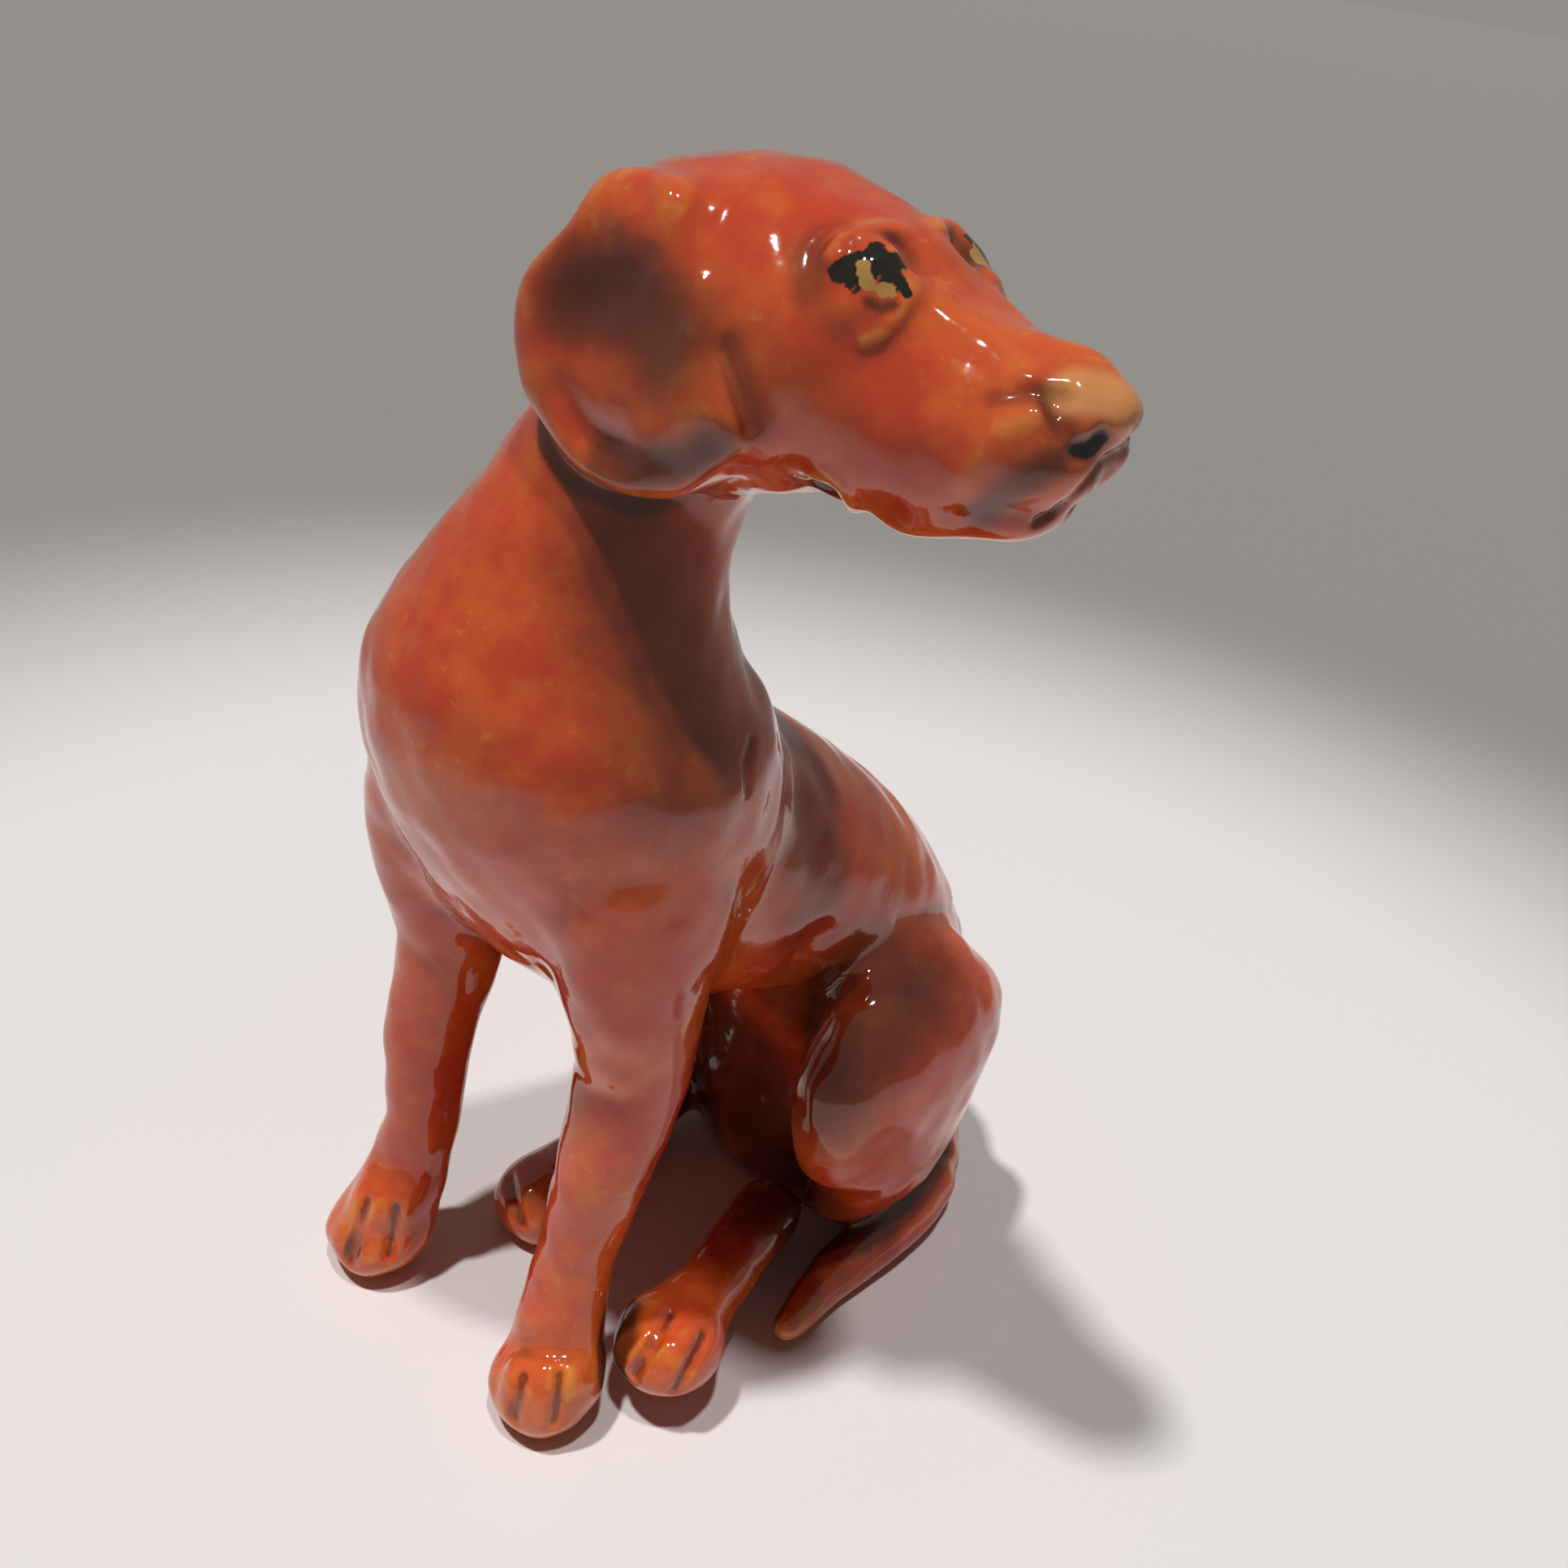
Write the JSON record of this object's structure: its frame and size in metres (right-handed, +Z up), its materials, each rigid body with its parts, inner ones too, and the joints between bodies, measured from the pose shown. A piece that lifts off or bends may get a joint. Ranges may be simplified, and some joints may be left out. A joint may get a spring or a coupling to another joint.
{
  "type": "ceramic dog figurine",
  "caption": "Glazed ceramic hound sitting upright with its head turned to its left, dished ears laid on the skull and the tail curled on the floor.",
  "frame": {"origin": "middle of the figure's footprint, on the plane it stands on", "axes": "+Z up from the floor, -Y the way the chest faces, +X to the dog's left, where the muzzle points"},
  "size_m": [0.076, 0.093, 0.1455],
  "materials": {
    "red_glaze": "glossy iron-red glaze, thinner and more orange on edges and paws",
    "tan_glaze": "glossy tan glaze",
    "black_glaze": "glossy black glaze"
  },
  "bodies": {
    "root": {"torso": "red_glaze", "neck": "red_glaze", "head": "red_glaze", "lower_jaw": "red_glaze", "nose_pad": "tan_glaze", "tail": "red_glaze", "right_ear": "red_glaze", "right_eye": "black_glaze", "right_eyelids": "red_glaze", "right_foreleg": "red_glaze", "right_thigh": "red_glaze", "right_hind_foot": "red_glaze", "left_ear": "red_glaze", "left_eye": "black_glaze", "left_eyelids": "red_glaze", "left_foreleg": "red_glaze", "left_thigh": "red_glaze", "left_hind_foot": "red_glaze"}
  },
  "joints": []
}
